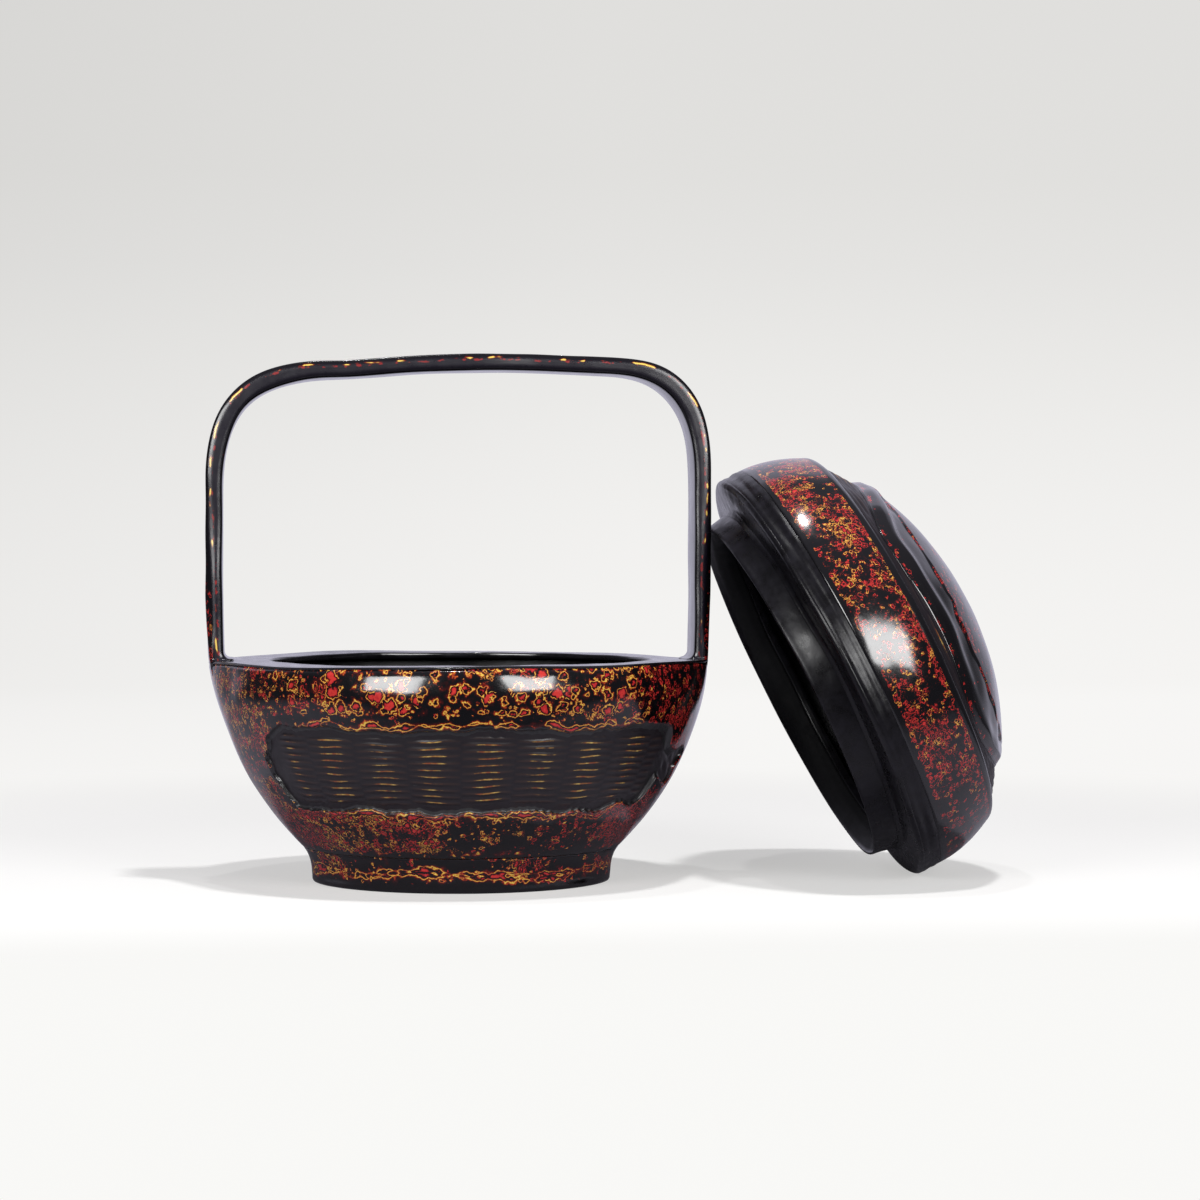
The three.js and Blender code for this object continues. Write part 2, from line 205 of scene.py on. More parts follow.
def turned(name, profile, count, body, node, finish, shape=None, marks=None, capped=False):
    """A surface turned round the axis from a profile of (radius, height). Shape moves its points as a
    hand would, and marks works out the marks where they then are."""
    profile = np.asarray(profile, dtype=float)
    turn = columns_round(count)
    radius, height = profile[:, :1], profile[:, 1:]
    if shape:
        radius, height = shape(turn, radius, height)
    given = marks(turn, radius, height) if marks else {}
    surface(name, around(radius, turn, height), body, node, finish, given, capped)


def with_hidden(marks, shape, rows):
    """Marks of the shown rows, each followed by its plain value for the rows of the hidden side."""
    return {key: np.concatenate([np.broadcast_to(values, shape), np.full((rows, shape[1]), PLAIN[key])], 0)
            for key, values in marks.items()}


def filled(line, longest=2.2):
    """The closed line with points added so that no step is longer than asked."""
    line = [np.array(point, dtype=float) for point in line]
    out = []
    for a, b in zip(line, line[1:] + line[:1]):
        count = max(1, int(math.ceil(np.linalg.norm(b - a) / longest * DETAIL)))
        out.extend(a + (b - a) * k / count for k in range(count))
    return np.array(out)


def curve(start, knee, end, count):
    """Points on the quadratic curve from start to end that leans towards the knee."""
    start, knee, end = np.array(start), np.array(knee), np.array(end)
    return [(1 - t) ** 2 * start + 2 * t * (1 - t) * knee + t * t * end for t in np.linspace(0, 1, count)]


def rounded(corners, sizes):
    """A closed line through corners, each cut round by its size."""
    corners = [np.array(corner) for corner in corners]
    out = []
    for i, (corner, size) in enumerate(zip(corners, sizes)):
        before, after = corners[i - 1] - corner, corners[(i + 1) % len(corners)] - corner
        out.extend(curve(corner + before / np.linalg.norm(before) * size, corner,
                         corner + after / np.linalg.norm(after) * size, 6))
    return filled(out)


# ---- finishes

BLACK = (0.0030, 0.0026, 0.0032)
DARK_RED = (0.110, 0.006, 0.004)
ORANGE = (0.46, 0.070, 0.012)
GOLD = (0.55, 0.33, 0.040)
PALE_GOLD = (0.82, 0.60, 0.12)
RED = (0.43, 0.018, 0.022)
BRIGHT_RED = (0.60, 0.040, 0.030)


class Net:
    """Wires nodes in one tree. A value is a socket, a number, a vector, or a colour of three parts."""

    def __init__(self, tree):
        self.tree = tree

    def node(self, kind, **settings):
        made = self.tree.nodes.new("ShaderNode" + kind)
        for key, value in settings.items():
            setattr(made, key, value)
        return made

    def fill(self, node, values):
        """Feeds a node's inputs by name (a dict) or in order (a list); gives its outputs."""
        for key, value in (values.items() if isinstance(values, dict) else enumerate(values)):
            socket = node.inputs[key]
            if isinstance(value, bpy.types.NodeSocket):
                self.tree.links.new(value, socket)
            elif socket.type == "RGBA":
                socket.default_value = (*value, 1.0)
            else:
                socket.default_value = value
        return node.outputs

    def math(self, operation, *values, clamp=False):
        return self.fill(self.node("Math", operation=operation, use_clamp=clamp), values)[0]

    def add(self, first, second):
        return self.math("ADD", first, second)

    def less(self, first, second):
        return self.math("SUBTRACT", first, second)

    def times(self, first, second, clamp=False):
        return self.math("MULTIPLY", first, second, clamp=clamp)

    def most(self, first, second):
        return self.math("MAXIMUM", first, second)

    def off(self, value, middle, factor, clamp=False):
        """How far a value lies over a middle one, times a factor."""
        return self.times(self.less(value, middle), factor, clamp)

    def apart(self, first, second):
        return self.math("ABSOLUTE", self.less(first, second))

    def either(self, first, second):
        """The first share, and the second one of what it leaves."""
        return self.add(first, self.times(self.less(1.0, first), second))

    def vector(self, operation, *values):
        return self.fill(self.node("VectorMath", operation=operation), values)[0]

    def scaled(self, value, factor):
        return self.fill(self.node("VectorMath", operation="SCALE"), {0: value, "Scale": factor})[0]

    def place(self):
        """The place in the frame at rest, in metres."""
        return self.node("TexCoord").outputs["Object"]

    def mark(self, name):
        return self.node("Attribute", attribute_name=name).outputs["Fac"]

    def noise(self, at, scale, detail=2.0, roughness=0.5, colour=False):
        values = {"Vector": at, "Scale": scale, "Detail": detail, "Roughness": roughness}
        return self.fill(self.node("TexNoise"), values)["Color" if colour else "Fac"]

    def range(self, value, low, high, to_low=0.0, to_high=1.0):
        values = {"Value": value, "From Min": low, "From Max": high, "To Min": to_low, "To Max": to_high}
        return self.fill(self.node("MapRange"), values)["Result"]

    def ramp(self, fac, stops):
        made = self.node("ValToRGB")
        elements = made.color_ramp.elements
        while len(elements) < len(stops):
            elements.new(0.5)
        for element, (position, colour) in zip(elements, stops):
            element.position = position
            element.color = (*colour, 1.0)
        return self.fill(made, {"Fac": fac})["Color"]

    def blend(self, fac, first, second, mode="MIX"):
        made = self.node("Mix", data_type="RGBA", blend_type=mode)
        return self.fill(made, {"Factor": fac, "A": first, "B": second})["Result"]

    def group(self, group, **values):
        return self.fill(self.node("Group", node_tree=group), values)


def shader_group(name, inputs, outputs):
    """An empty node group with its sockets; gives it, its wiring helper, its inputs and its end."""
    group = bpy.data.node_groups.new(name, "ShaderNodeTree")
    for way, sockets in (("INPUT", inputs), ("OUTPUT", outputs)):
        for label, kind in sockets.items():
            group.interface.new_socket(label, in_out=way, socket_type="NodeSocket" + kind)
    return group, Net(group), group.nodes.new("NodeGroupInput").outputs, group.nodes.new("NodeGroupOutput")


def layered_speckle():
    """Layers of lacquer rubbed level over small mounds: each mound shows as rings, from outside in
    dark red, orange, gold, a dark line and a red core. Three fields of depth in millimetres are made:
    big cells and lines along the edges, of which the deeper shows, and small cells in chains. Where
    the small field is deep enough, it covers the coarse one."""
    group, net, given, end = shader_group(
        "layered_speckle",
        {"Vector": "Vector", "Coarse": "Float", "Dense": "Float", "Line": "Float", "Red": "Float"},
        {"Color": "Color"})
    at = given["Vector"]

    def warped(rate, reach):
        shift = net.vector("SUBTRACT", net.noise(at, rate, colour=True), (0.5, 0.5, 0.5))
        return net.vector("ADD", at, net.scaled(shift, reach))

    def cells(spacing, low, high, where):
        made = net.node("TexVoronoi", voronoi_dimensions="3D", feature="F1")
        found = net.fill(made, {"Vector": where, "Scale": 1 / spacing})
        pick = net.fill(net.node("SeparateColor"), [found["Color"]])[0]
        return net.less(net.range(pick, 0.0, 1.0, low, high), net.times(found["Distance"], spacing))

    bent, shaken = warped(0.38, 4.2), warped(0.9, 2.2)
    fringe = net.off(net.noise(at, 0.75), 0.5, 1.2)
    scarce = net.times(net.less(1.0, given["Coarse"]), 3.4)
    cell = net.less(net.add(cells(4.7, 1.0, 2.7, bent), fringe), scarce)
    drift = net.off(net.noise(at, 0.16), 0.5, 4.6)
    wide = net.range(net.noise(at, 0.13), 0.36, 0.64, -0.25, 1.5)
    line = net.add(net.less(wide, net.math("ABSOLUTE", net.add(given["Line"], drift))), fringe)
    coarse = net.most(cell, line)
    cloud = net.off(net.noise(at, 0.20, 3.0, 0.6), 0.5, 2.6)
    chain = net.less(0.28, net.times(net.apart(net.noise(bent, 0.62), 0.5), 11.0))
    fine = net.add(net.add(net.most(cells(2.1, 0.25, 1.55, shaken), chain), cloud), given["Dense"])

    reddened = net.add(net.noise(at, 0.30, 3.0), net.times(given["Red"], 0.30))
    layer = net.range(coarse, -0.5, 2.5)
    golden = net.ramp(layer, [
        (0.0, BLACK), (0.06, DARK_RED), (0.15, ORANGE), (0.175, GOLD), (0.20, PALE_GOLD), (0.23, GOLD),
        (0.255, ORANGE), (0.29, DARK_RED), (0.335, BLACK), (0.43, BLACK), (0.48, DARK_RED), (0.55, RED),
        (0.70, BRIGHT_RED), (1.0, RED)])
    red = net.ramp(layer, [
        (0.0, BLACK), (0.06, DARK_RED), (0.15, DARK_RED), (0.185, RED), (0.215, GOLD), (0.235, RED),
        (0.29, DARK_RED), (0.35, BLACK), (0.42, BLACK), (0.47, DARK_RED), (0.54, RED), (1.0, BRIGHT_RED)])
    coarse_colour = net.blend(net.range(reddened, 0.63, 0.71), golden, red)
    glow = net.off(net.noise(at, 0.3), 0.42, 2.2, clamp=True)
    hot = net.range(net.add(coarse, glow), -1.0, 0.6)
    around_cells = net.blend(net.math("POWER", hot, 2.0), BLACK, DARK_RED)
    coarse_colour = net.blend(net.range(coarse, -0.45, -0.25), around_cells, coarse_colour)
    layer = net.range(fine, -0.5, 1.5)
    golden = net.ramp(layer, [
        (0.0, BLACK), (0.12, BLACK), (0.20, DARK_RED), (0.26, ORANGE), (0.29, GOLD), (0.33, PALE_GOLD),
        (0.36, ORANGE), (0.41, DARK_RED), (0.48, BLACK), (0.54, BLACK), (0.61, DARK_RED), (0.70, RED),
        (1.0, BRIGHT_RED)])
    red = net.ramp(layer, [
        (0.0, BLACK), (0.12, BLACK), (0.21, DARK_RED), (0.27, RED), (0.32, BRIGHT_RED), (0.38, DARK_RED),
        (0.46, BLACK), (0.54, BLACK), (0.66, DARK_RED), (0.76, RED), (1.0, BRIGHT_RED)])
    fine_colour = net.blend(net.range(reddened, 0.58, 0.66), golden, red)
    deeper = net.math("GREATER_THAN", coarse, net.times(fine, 0.7))
    shown = net.most(deeper, net.math("LESS_THAN", fine, -0.30))
    net.fill(end, {"Color": net.blend(shown, fine_colour, coarse_colour)})
    return group


def hand_laid():
    """Slow unevenness of thick lacquer as a normal, and a faint cloud of wear for its roughness and for the
    painted sheen of plain_black.
    """
    group, net, given, end = shader_group(
        "hand_laid", {"Vector": "Vector", "Strength": "Float"}, {"Normal": "Vector", "Cloud": "Float"})
    at = given["Vector"]
    height = net.add(net.noise(at, 0.07, 2.0, 0.45), net.times(net.noise(at, 0.45), 0.06))
    bump = net.fill(net.node("Bump"),
                    {"Distance": 0.0022, "Strength": given["Strength"], "Height": height})
    net.fill(end, {"Normal": bump[0], "Cloud": net.noise(at, 0.2, 4.0, 0.6)})
    return group


SPECKLE_GROUP = layered_speckle()
HAND_GROUP = hand_laid()


def speckle(net, at, cloud, matt):
    """Black with the layered speckle in it, steered by the marks on the surface."""
    return net.group(SPECKLE_GROUP, Vector=at, Coarse=net.mark("coarse"), Dense=net.mark("dense"),
                     Line=net.mark("line"), Red=net.mark("red"))["Color"]


def strap_pattern(net, at, cloud, matt):
    """Speckle on the strap's outer face. Its side faces, marked matt, carry broken gold dashes with red
    streaks beside them, set in from the outer edge."""
    inset = net.add(net.mark("inset"), net.off(net.noise(at, 0.10), 0.5, 1.5))
    dash = net.less(net.range(net.noise(at, 0.17), 0.47, 0.60, -0.4, 0.34), net.apart(inset, DASH_INSET))
    streak = net.less(net.range(net.noise(at, 0.42, 3.0), 0.46, 0.62, -0.4, 0.55), net.apart(inset, 1.9))
    colour = net.blend(matt, speckle(net, at, cloud, matt), (0.0080, 0.0060, 0.0125))
    colour = net.blend(net.range(streak, 0.0, 0.30), colour, (0.26, 0.012, 0.012))
    colour = net.blend(net.range(dash, -0.25, -0.05), colour, (0.16, 0.012, 0.006))
    return net.blend(net.range(dash, 0.0, 0.12), colour, PALE_GOLD)


def plain_black(net, at, cloud, matt):
    """Black, paler and bluer in rubbed clouds, a tone that also stands in for painted sheen, and dead black
    as painted shade where it is marked matt.
    """
    # Painted sheen: the pale bluish tone in the clouds stands in for part of the satin sheen, as well as for
    # rubbing.
    rubbed_and_sheen = net.blend(net.range(cloud, 0.35, 0.75), BLACK, (0.0070, 0.0062, 0.0095))
    # Painted shade: where the surface is marked matt, the black is made darker still.
    return net.blend(matt, rubbed_and_sheen, (0.002, 0.002, 0.003))


def worn_weave(net, at, cloud, matt):
    """Thin dark lacquer over woven strands: the crests, marked on the surface, are rubbed to broken
    gold-brown lines, and faint brown strands show through beside them."""
    drawn = net.vector("MULTIPLY", at, (0.35, 0.35, 1.0))
    crest = net.add(net.mark("crest"), net.off(net.noise(drawn, 0.85, 3.0, 0.6), 0.48, 0.50))
    tone = net.ramp(net.noise(at, 0.40), [
        (0.36, (0.22, 0.050, 0.015)), (0.48, (0.30, 0.14, 0.030)), (0.60, (0.44, 0.27, 0.065)),
        (0.75, (0.62, 0.44, 0.13))])
    shade = net.blend(net.range(crest, 0.1, 0.85), (0.0110, 0.0080, 0.0105), (0.030, 0.016, 0.014))
    return net.blend(net.range(crest, 0.85, 0.95), shade, tone)


def lacquer(name, colour, strength, polish, dulling, level, ior=1.52):
    """A material laid on by hand. Colour is one of the functions above, and strength is that of the
    unevenness. The roughness wavers between the two values of polish, and dulling is added to it where
    the surface is marked matt."""
    material = bpy.data.materials.new(name)
    material.use_nodes = True
    net = Net(material.node_tree)
    at = net.scaled(net.place(), 1 / MM)
    hand = net.group(HAND_GROUP, Vector=at, Strength=strength)
    cloud, matt = hand["Cloud"], net.mark("matt")
    roughness = net.add(net.range(cloud, 0.3, 0.7, *polish), net.times(matt, dulling))
    net.fill(net.tree.nodes["Principled BSDF"], {
        "Base Color": colour(net, at, cloud, matt), "Roughness": roughness, "Normal": hand["Normal"],
        "IOR": ior, "Specular IOR Level": level})
    return material


# The finishes, each a slot with its material
bowl_speckle = "speckled_lacquer", lacquer("bowl_speckle", speckle, 0.10, (0.09, 0.16), 0.32, 0.85)
lid_speckle = "speckled_lacquer", lacquer("lid_speckle", speckle, 0.10, (0.12, 0.19), 0.32, 0.85)
crown_speckle = "black_lacquer", lid_speckle[1]
handle_speckle = "speckled_lacquer", lacquer("handle_speckle", strap_pattern, 0.10, (0.12, 0.20), 0.14, 0.7)
satin_black = "black_lacquer", lacquer("satin_black", plain_black, 0.3, (0.24, 0.38), 0.4, 0.34)
inner_black = "black_lacquer", lacquer("inner_black", plain_black, 0.2, (0.34, 0.48), 0.4, 0.4)
ledge_black = "black_lacquer", lacquer("ledge_black", plain_black, 0.15, (0.11, 0.25), 0.4, 0.85)
woven_black = "bamboo_weave", lacquer("woven_black", worn_weave, 0.12, (0.36, 0.48), 0.0, 0.5, 1.5)


# ---- bowl

def wall(height):
    """Radius of the bowl's outside: full at the rim, falling by a power of the depth to the waist."""
    share = np.maximum(0, RIM - height) / (RIM - FOOT_H)
    return BOWL_R - (BOWL_R - WAIST_R) * share ** FULLNESS


def brow(height):
    """The wall bends inwards under the rim, by the square of the height over the bend's start."""
    return np.maximum(0, height - BROW_START) ** 2 / BROW_EASE


def leg_rise(turn, height):
    """The coat swells out to the outer face of a leg, most at the rim and in line with the leg, and
    further on the left."""
    aside = np.abs(np.cos(turn)) * BOWL_R
    left = smooth(-3 * np.sin(turn))
    lift = 1.85 * smooth((height - 50.0) / 30.0) + left * 2.2 * smooth((height - 50.0) / 50.0)
    return lift * (1 - smooth((aside - 4.0) / 26.0)) + brow(height) * (1 - smooth((aside - 6.0) / 60.0))


def rim_wave(turn):
    """The rim rises and falls a little round the bowl."""
    return 0.42 * np.sin(2 * turn + 0.6) + 0.22 * np.sin(5 * turn + 2.1) + 0.10 * np.sin(9 * turn)


def local_turn(turn):
    """Angle from the middle of the window that is nearer, front or back."""
    return (turn + math.pi / 2) % math.pi - math.pi / 2


def window_edges(turn):
    """Heights of the torn lower and upper edge of the window at an angle from its middle: the solids'
    torn lines with finer tears on them."""
    reach = np.minimum(1, np.abs(turn / WINDOW_ANGLE))
    fill = np.maximum(WINDOW_FILL, np.maximum(0, 1 - reach ** 16) ** 0.25)
    tear = WINDOW_TEAR * (1 + 1.5 * reach * reach)
    fine = 0.28 * ripple(turn, 5, 24, 60) + 0.14 * ripple(turn, 6, 90, 170)
    low = tear * (np.sin(9 * turn) + 0.7 * np.sin(23 * turn + 2)) + fine
    fine = 0.26 * ripple(turn, 7, 24, 60) + 0.14 * ripple(turn, 8, 90, 170)
    high = tear * (np.sin(8 * turn + 1) + 0.6 * np.sin(27 * turn)) + fine
    return WINDOW_MIDDLE - WINDOW_HALF * fill + low, WINDOW_MIDDLE + WINDOW_HALF * fill + high


def window_open(turn, height):
    """1 inside the window's two ends and 0 past them, with torn ends."""
    left = -WINDOW_ANGLE + 0.022 * ripple(height * 0.12, 11, 1, 9)
    right = WINDOW_ANGLE * WINDOW_RIGHT + 0.022 * ripple(height * 0.12, 12, 1, 9)
    step = 0.012
    return smooth((turn - left) / step + 0.5) * (1 - smooth((turn - right) / step + 0.5))


def build_coat():
    """The coat: its rows follow the torn edges, where the face steps in by 1.9 mm to the weave. It
    stands on the bowl's wall with a slow hand-made unevenness."""
    turn = columns_round(1280)
    near = local_turn(turn)
    low, high = window_edges(near)
    top_row = COAT_TOP + rim_wave(turn)
    plain = spread((0.0, 16), (1.0, 0))[:, None]
    across = np.array([-0.55, -0.3, -0.1, 0.1, 0.35, 0.8, 1.5])[:, None]
    inside = spread((0.0, 18), (1.0, 0))[:, None]
    height = np.concatenate([
        COAT_LOW + (low - 0.8 - COAT_LOW) * plain,
        low + across,
        (low + 2.0) + (high - low - 4.0) * inside,
        high - across[::-1],
        (high + 0.8) + (top_row - high - 0.8) * plain ** 0.9], 0)
    edge = np.minimum(height - low, high - height)
    opened = window_open(near, height)
    drop = smooth((edge + 0.35) / 1.0) * 1.25 + smooth((edge - 0.9) / 1.2) * 0.65
    lip = 0.16 * hump(edge, -0.75, 0.5)
    uneven = 0.16 * wave(turn, height, 21, (3, 11), 0.16) + 0.05 * wave(turn, height, 22, (14, 30), 0.5)
    radius = wall(height) - brow(height) + leg_rise(turn, height) - (drop - lip) * opened
    radius = radius + uneven * smooth((height - 14) / 8)
    radius = radius - 0.3 * smooth((height - top_row + 0.5) / 0.5) - 0.15 * smooth((12.1 - height) / 0.4)
    back = np.array([76.9, 60.0, 44.0, 28.0, 12.0])[:, None]
    inner = around(wall(back) - brow(back) - 2.05, turn, back)
    points = np.concatenate([around(radius, turn, height), inner], 0)

    ends = np.minimum(near + WINDOW_ANGLE, WINDOW_ANGLE * WINDOW_RIGHT - near) * 80.0
    past = np.maximum(-edge, 0)
    outside = np.where(ends > 0, past, np.hypot(past, ends))
    aside = np.abs(near)
    streaks = wave(turn, height, 33, (3, 9), 1.1)
    broken = 0.5 * np.abs(ripple(turn, 36, 5, 15)) + 3.0 * smooth((aside - 0.70) / 0.15)
    foot_line = np.abs(height - 14.2) + 1.0 + 1.4 * np.abs(ripple(turn, 31, 2, 7))
    line = np.minimum(outside - 1.5 + broken, foot_line)
    line = np.where(opened * (edge > 0.3) > 0.5, 6.0 + edge, line)
    top = smooth((height - 61.0) / 2.5)
    lower = 1 - smooth((height - 28) / 2.0)
    sides = smooth((aside - 0.45) / 0.75)
    coarse = top * (1.06 - 0.50 * sides) + 0.40 * lower * (1 + 0.4 * streaks)
    dense = top * (-0.90 + 0.62 * smooth((aside - 0.3) / 0.6)) + (1 - top - lower) * (-0.85 + 0.55 * sides)
    dense = dense + lower * (-0.36 + 0.30 * smooth((aside - 0.25) / 0.7))
    dense = dense + 0.40 * streaks * (1 - 0.4 * top - 0.4 * lower)
    dense = dense - 1.2 * (1 - smooth((height - 12.5) / 2.2))
    red = 0.14 + (0.15 + 0.75 * smooth(np.sin(near) * 1.3)) * sides + 0.32 * lower
    red = red + 0.25 * wave(turn, height, 35, (3, 9), 0.3)
    hidden = opened * (edge > -0.2) > 0.5
    marks = {"coarse": np.where(hidden, -0.8, coarse), "dense": np.where(hidden, PLAIN["dense"], dense),
             "line": line, "red": red, "matt": opened * smooth((edge + 1.0) / 0.5)}
    surface("bowl_coat_layers", points, "basket", "bowl_coat", bowl_speckle,
            with_hidden(marks, height.shape, len(back)))


def interlaced(phase, weft, flatness):
    """1 on the crests, where a strand rises over a stake, and -1 where it sinks under the next: a
    cosine across the strands times a flattened cosine along them."""
    return np.sign(np.cos(phase)) * np.abs(np.cos(phase)) ** flatness * np.cos(weft)


def build_weave(name, middle):
    """The strands in one window. They fade out towards the plain margins, and are torn at the right
    end. The slab behind them is closed round its rows, and each end column by a point."""
    turn = np.linspace(WEAVE_LEFT, WEAVE_RIGHT, int(640 * DETAIL))[None, :]
    height = np.linspace(WEAVE_LOW, WEAVE_HIGH, int(240 * DETAIL))[:, None]
    stake = math.tau / STAKES
    phase = math.pi * (turn / stake - STAKE_TURN)
    bend = 0.32 * wave(turn, height, 41, (3, 12), 0.2) + 0.10 * wave(turn, height, 42, (20, 50), 0.6)
    over = interlaced(phase, math.tau * (height - WINDOW_MIDDLE + bend) / PITCH, 0.45)
    low, high = window_edges(turn)
    margin = np.minimum(height - low - 2.4, high - height - 2.4)
    torn = smooth((turn - 0.90) / 0.12)
    fade = smooth(margin / 1.6) * smooth((turn + 0.97) / 0.10) * (1 - torn)
    relief = fade * (0.15 * over + 0.26 * np.abs(np.cos(phase)) ** 1.2)
    uneven = 0.15 * wave(turn, height, 43, (6, 26), 0.3) + 0.06 * wave(turn, height, 44, (30, 70), 0.8)
    tatter = 0.42 * wave(turn, height, 45, (10, 26), 0.7) + 0.12 * wave(turn, height, 47, (40, 90), 1.6)
    depth = 1.55 - relief + uneven * 0.7 - np.clip(torn * tatter, -0.9, 0.6)
    crest = over * fade * (1.0 + 0.06 * wave(turn, height, 46, (4, 20), 0.3))
    back = np.linspace(WEAVE_HIGH, WEAVE_LOW, 6)[:, None]
    points = np.concatenate([around(wall(height) - brow(height) - depth, turn + middle, height),
                             around(wall(back) - 4.0, turn + middle, back)], 0).transpose(1, 0, 2)
    crest = with_hidden({"crest": crest}, crest.shape, len(back))["crest"].T
    surface(name, np.pad(points, ((1, 1), (0, 0), (0, 0)), "edge"), "basket", "woven_bowl", woven_black,
            {"crest": np.pad(crest, ((1, 1), (0, 0)), "edge")}, capped=True)


def build_bowl_rest():
    """Ledge, lining, foot and base: turned profiles with a slight unevenness of the hand."""
    top_r = wall(RIM) - brow(RIM)
    ledge = rounded([(MOUTH_R, LEDGE_BOTTOM), (top_r - 1.3, LEDGE_BOTTOM - 0.2), (top_r - 0.9, 78.0),
                     (top_r + 0.1, 78.3), (top_r - 0.1, RIM), (MOUTH_R, RIM)],
                    [0.9, 0.2, 0.1, 0.25, 0.75, 0.9])

    def ledge_shape(turn, radius, height):
        share = smooth((radius - 76.0) / 7.0)
        raised = rim_wave(turn) * smooth((height - 76.6) / 1.4) * (0.4 + 0.6 * share)
        dish = -0.35 * np.sin(np.clip((radius - MOUTH_R) / (top_r - MOUTH_R), 0, 1) * math.pi)
        uneven = 0.10 * wave(turn, radius, 61, (5, 17), 0.3)
        height = height + raised + (dish + uneven) * smooth((height - 78.2) / 0.9) * (1 - share)
        radius = radius + share * (leg_rise(turn, RIM) + 0.08 * ripple(turn, 62, 4, 13))
        return radius + (1 - share) * 0.35 * ripple(turn, 63, 2, 7), height

    turned("mouth_ledge_top", ledge, 720, "basket", "mouth_ledge", ledge_black, ledge_shape)

    low = 16.6
    heights = np.linspace(low, 77.0, int(46 * DETAIL))
    shell = [(wall(h) - 4.6, h) for h in heights] + [(wall(h) - 5.7, h) for h in heights[::-1]]
    inner = [(r, 15.6 - 0.15 * math.cos(r / 15))
             for r in np.linspace(wall(low) - 7.6, 0.0, int(16 * DETAIL))]
    outer = [(r, 14.4) for r in np.linspace(0.0, wall(low) - 6.0, int(14 * DETAIL))]

    def lining_shape(turn, radius, height):
        return radius + 0.22 * wave(turn, height, 64, (3, 14), 0.2) * smooth((height - 20) / 10), height

    turned("bowl_lining_shell", outer + shell + inner, 300, "basket", "bowl_lining", inner_black,
           lining_shape, capped=True)

    side = [(FOOT_R + (WAIST_R + 0.06 - FOOT_R) * s ** 3.1, FOOT_H * s)
            for s in np.linspace(0.06, 1, int(18 * DETAIL))]
    foot = filled([(49.1, 0.0), (52.6, 0.0), (53.2, 0.12), *side, (56.4, 12.5), (55.0, 12.7), (51.5, 12.3),
                   (48.6, 12.0), (48.5, 0.5)], 1.0)

    def foot_shape(turn, radius, height):
        fade = smooth((height - 0.6) / 3) * (1 - smooth((height - 8.5) / 3))
        return radius + 0.16 * wave(turn, height, 65, (3, 12), 0.3) * fade, height

    def foot_marks(turn, radius, height):
        streaks = 0.4 * wave(turn, height, 34, (3, 9), 1.0)
        marks = {
            "coarse": 0.25 + 0.35 * smooth((height - 3) / 2) * (1 - smooth((height - 9) / 3)),
            "dense": -0.75 - 1.6 * (1 - smooth((height - 1.8) / 1.6)) + streaks,
            "line": np.abs(height - 6.2 + 1.1 * ripple(turn, 32, 3, 9)) - 0.7,
        }
        marks = {key: np.where(radius > 52.9, values, PLAIN[key]) for key, values in marks.items()}
        return {**marks, "red": 0.35 + 0.45 * smooth(np.sin(turn))}

    turned("foot_ring_coat", foot, 640, "basket", "foot_ring", bowl_speckle, foot_shape, foot_marks)

    plate_r = 48.4
    plate = [(r, 9.6 + 0.12 * math.cos(r / 9)) for r in np.linspace(0, plate_r, int(20 * DETAIL))]
    plate += [(r, FOOT_H) for r in np.linspace(plate_r, 0, int(10 * DETAIL))]
    turned("base_plate_disc", plate, 240, "basket", "base_plate", inner_black, capped=True)


# ---- handle

HANDLE_TOP, HANDLE_THICK, HANDLE_HALF, HANDLE_CROWN, HANDLE_SLOPE = 188.4, 5.6, 11.0, 1.9, 1.7
CORNER_SWELL, CORNER_FULL, LEG_PROUD = 1.1, 2.8, 1.8
# Of the right (1) and left (-1) leg: how far its top stands out, its corner's reach and drop, and the
# height from which it settles outwards and over how much
LEGS = {1: (2.1, 39.0, 44.0, 80.0, 35.0), -1: (4.0, 48.0, 46.0, 46.0, 50.0)}


def handle_line():
    """The outer face of the strap as points (x, z, thickness), from the right leg to the left, and the
    length along it: straight legs that settle outwards, corners fuller than an ellipse, and a slightly
    arched top."""
    right_top = HANDLE_TOP - HANDLE_CROWN + HANDLE_SLOPE / 2
    tops = {1: right_top, -1: right_top - HANDLE_SLOPE}
    sides = {}
    for way, (out, reach, drop, low, settle) in LEGS.items():
        z = np.linspace(66.0, tops[way] - drop, 260)
        proud = LEG_PROUD * smooth((z - 50) / 30) + (out - LEG_PROUD) * smooth((z - low) / settle)
        sunk = 0.5 * smooth((77.0 - z) / 3.0)
        x = np.where(z < 80, wall(z), BOWL_R) + proud - sunk
        leg = np.stack([x, z, np.full_like(z, HANDLE_THICK)], -1)
        t = np.linspace(0, math.pi / 2, 240)[1:]
        corner = np.stack([
            BOWL_R + out - reach + reach * np.maximum(0, np.cos(t)) ** (2 / CORNER_FULL),
            tops[way] - drop + drop * np.sin(t) ** (2 / CORNER_FULL),
            HANDLE_THICK + CORNER_SWELL * np.sin(2 * t)], -1)
        sides[way] = np.concatenate([leg, corner])
    t = np.linspace(0, 1, 200)[1:-1][:, None]
    left = sides[-1] * np.array([-1, 1, 1])
    bridge = sides[1][-1] * (1 - t) + left[-1] * t
    bridge[:, 1] += HANDLE_CROWN * np.sin(math.pi * t[:, 0])
    line = np.concatenate([sides[1], bridge, left[::-1]])
    length = np.concatenate([[0], np.cumsum(np.linalg.norm(np.diff(line[:, :2], axis=0), axis=1))])
    even = np.linspace(0, length[-1], int(760 * DETAIL))
    line = np.stack([np.interp(even, length, line[:, k]) for k in range(3)], -1)
    for _ in range(int(60 * DETAIL)):
        line[1:-1] = (line[:-2] + 2 * line[1:-1] + line[2:]) / 4
    return line, even


